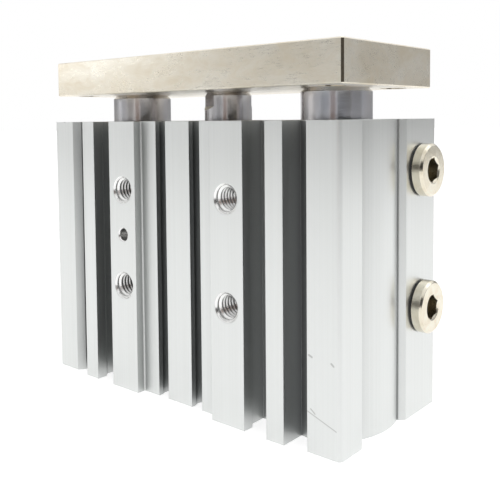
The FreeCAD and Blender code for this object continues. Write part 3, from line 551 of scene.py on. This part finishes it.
def thread(name, body, slot, *path):
    """A thread's ridge as a piece that rides on body; path is what helix takes."""
    verts, faces = helix(*path)
    mesh = bpy.data.meshes.new(name)
    mesh.from_pydata(verts, [], faces)
    mesh.validate()
    mesh.materials.append(FINISHES[slot])
    ridge = bpy.data.objects.new(name, mesh)
    bpy.context.scene.collection.objects.link(ridge)
    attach(ridge, body)


M6_PITCH, PIPE_PITCH = 1.0, 0.907
PORT_START, PORT_LENGTH = 0.6, 7.4
# mount, body, slot, and the thread's start and length in millimetres
TAPS = (("front_threads", "housing", "body_aluminium", 0.48, 10.7),
        ("base_threads", "housing", "body_aluminium", 0.48, 10.7),
        ("plate_threads", "carriage", "plate_nickel", 0.48, 8.1))
for name, body, slot, start, length in TAPS:
    mount = MOUNTS[name]
    for number, centre in enumerate(four_centres(mount), start=1):
        thread(f"{name}_{number}", body, slot, centre, mount["axis"],
               mount["dims"]["hole_r_mm"], M6_PITCH, start, length)
for name in ("rear_port_rod_side", "rear_port_head_side"):
    mount = MOUNTS[name]
    thread(name + "_thread", "housing", "body_aluminium", mount["pos_m"], mount["axis"],
           mount["dims"]["r_mm"], PIPE_PITCH, PORT_START, PORT_LENGTH)


# ------------------------------------------------------------ floor and lights
def flat(name, size_x, size_y, matrix, material):
    """A rectangle of the stage, which isn't part of the object."""
    mesh = bpy.data.meshes.new(name)
    x, y = size_x / 2, size_y / 2
    mesh.from_pydata([(-x, -y, 0), (x, -y, 0), (x, y, 0), (-x, y, 0)], [], [(0, 1, 2, 3)])
    mesh.materials.append(material)
    made = bpy.data.objects.new(name, mesh)
    made.matrix_world = matrix
    bpy.context.scene.collection.objects.link(made)
    return made


def seen(tree):
    """1 for rays that should meet the white surroundings, else 0."""
    rays = add(tree, "LightPath").outputs
    return calc(tree, "MAXIMUM", rays["Is Camera Ray"],
                calc(tree, "MAXIMUM", rays["Is Glossy Ray"], rays["Is Transmission Ray"]))


def floor_material():
    """Pale floor that reads white where it is lit and keeps the shadow."""
    material, tree, shader = new_material("pale_floor", 0.0, Roughness=0.9)
    paper = noise(tree, (0.4, 0.4, 0.4), detail=3)
    feed(tree, shader, Base_Color=mix(tree, paper, srgb(228, 228, 228), srgb(236, 236, 236)))
    shader.inputs["Specular IOR Level"].default_value = 0.0
    shader.inputs["Emission Color"].default_value = (1, 1, 1, 1)
    feed(tree, shader, Emission_Strength=calc(tree, "MULTIPLY", seen(tree), 0.78))
    return material


def white_world(ambient):
    """White surroundings for the rays that see them, and that much light for the rest."""
    world = bpy.data.worlds.new("white_studio")
    bpy.context.scene.world = world
    world.use_nodes = True
    tree = world.node_tree
    back = tree.nodes["Background"]
    back.inputs["Color"].default_value = (1, 1, 1, 1)
    tree.links.new(span(tree, seen(tree), 0, 1, ambient, 1.0), back.inputs["Strength"])


def facing(place, target):
    """A matrix at place whose -Z looks at target."""
    way = (Vector(target) - Vector(place)).normalized()
    return Matrix.Translation(place) @ way.to_track_quat("-Z", "Y").to_matrix().to_4x4()


def soft_box(name, place, target, size_x, size_y, radiance):
    """An area light whose surface has that radiance."""
    lamp = bpy.data.lights.new(name, "AREA")
    lamp.shape = "RECTANGLE"
    lamp.size, lamp.size_y = size_x, size_y
    lamp.energy = radiance * math.pi * size_x * size_y
    made = bpy.data.objects.new(name, lamp)
    made.matrix_world = facing(place, target)
    made.visible_camera = False
    bpy.context.scene.collection.objects.link(made)


def card(name, red, green, blue):
    """Matt paper of that colour for a studio flag."""
    material, tree, shader = new_material(name, 0.0, Roughness=1.0)
    paper = noise(tree, (0.01, 0.01, 0.01), detail=2)
    feed(tree, shader, Base_Color=mix(tree, paper, srgb(red, green, blue),
                                      srgb(red + 8, green + 7, blue + 3)))
    shader.inputs["Specular IOR Level"].default_value = 0.0
    return material


def flag(name, bearing, distance, width, low, high, material):
    """An upright card seen only in reflections; bearing is in degrees from +X."""
    turn = math.radians(bearing)
    middle = (low + high) / 2
    place = (distance * math.cos(turn), distance * math.sin(turn), middle)
    made = flat(name, width, high - low, facing(place, (0, 0, middle)), material)
    made.visible_camera = False
    made.visible_diffuse = False
    made.visible_shadow = False


MIDDLE = (0.0, 0.0, 0.042)
FLOOR_SIZE, FLOOR_DROP = 8, 0.00005
flat("floor", FLOOR_SIZE, FLOOR_SIZE, Matrix.Translation((0, 0, -FLOOR_DROP)),
     floor_material())
white_world(0.5)
light = card("light_card", 208, 208, 210)
grey = card("grey_card", 150, 150, 152)
dark = card("dark_card", 40, 40, 42)
warm = card("warm_card", 160, 132, 120)
# name, bearing, distance, width, lowest and highest edge, paper
FLAGS = (("light_flag_1", -131, 1.3, 1.2, 0.02, 0.75, light),
         ("light_flag_2", -180, 1.3, 1.2, 0.02, 0.75, light),
         ("light_flag_3", 49, 0.9, 0.85, 0.01, 0.33, light),
         ("light_flag_4", 100, 0.9, 0.85, 0.01, 0.33, light),
         ("camera_flag", -32, 0.8, 0.66, 0.03, 0.45, dark),
         ("front_flag", -92, 1.2, 0.6, 0.02, 0.5, grey),
         ("side_flag", 8, 0.8, 0.55, 0.02, 0.45, grey),
         ("warm_flag", -66, 0.75, 0.24, 0.02, 0.4, warm))
for settings in FLAGS:
    flag(*settings)
soft_box("front_left", (-0.80, -0.53, 0.24), MIDDLE, 0.35, 0.22, 1.9)
soft_box("right", (0.50, 0.55, 0.70), MIDDLE, 0.5, 0.5, 0.8)
soft_box("top", (0.1, 0.1, 0.8), MIDDLE, 0.5, 0.5, 0.4)

# ---------------------------------------------------------------------- camera
CAMERA_PLACE = (0.119906, -0.138939, 0.067907)
PAN, DOWN, ROLL = 41.569, 3.265, -0.599      # degrees
lens = bpy.data.cameras.new("view")
lens.sensor_width = 36.0
lens.lens = 51.997
lens.shift_x, lens.shift_y = 0.0620, -0.1797
lens.clip_start, lens.clip_end = 0.005, 20
camera = bpy.data.objects.new("view", lens)
camera.matrix_world = (
    Matrix.Translation(CAMERA_PLACE)
    @ Matrix.Rotation(math.radians(PAN), 4, "Z")
    @ Matrix.Rotation(math.radians(90 - DOWN), 4, "X")
    @ Matrix.Rotation(math.radians(ROLL), 4, "Z")
)
bpy.context.scene.collection.objects.link(camera)
bpy.context.scene.camera = camera

bpy.context.scene.view_settings.view_transform = "Standard"
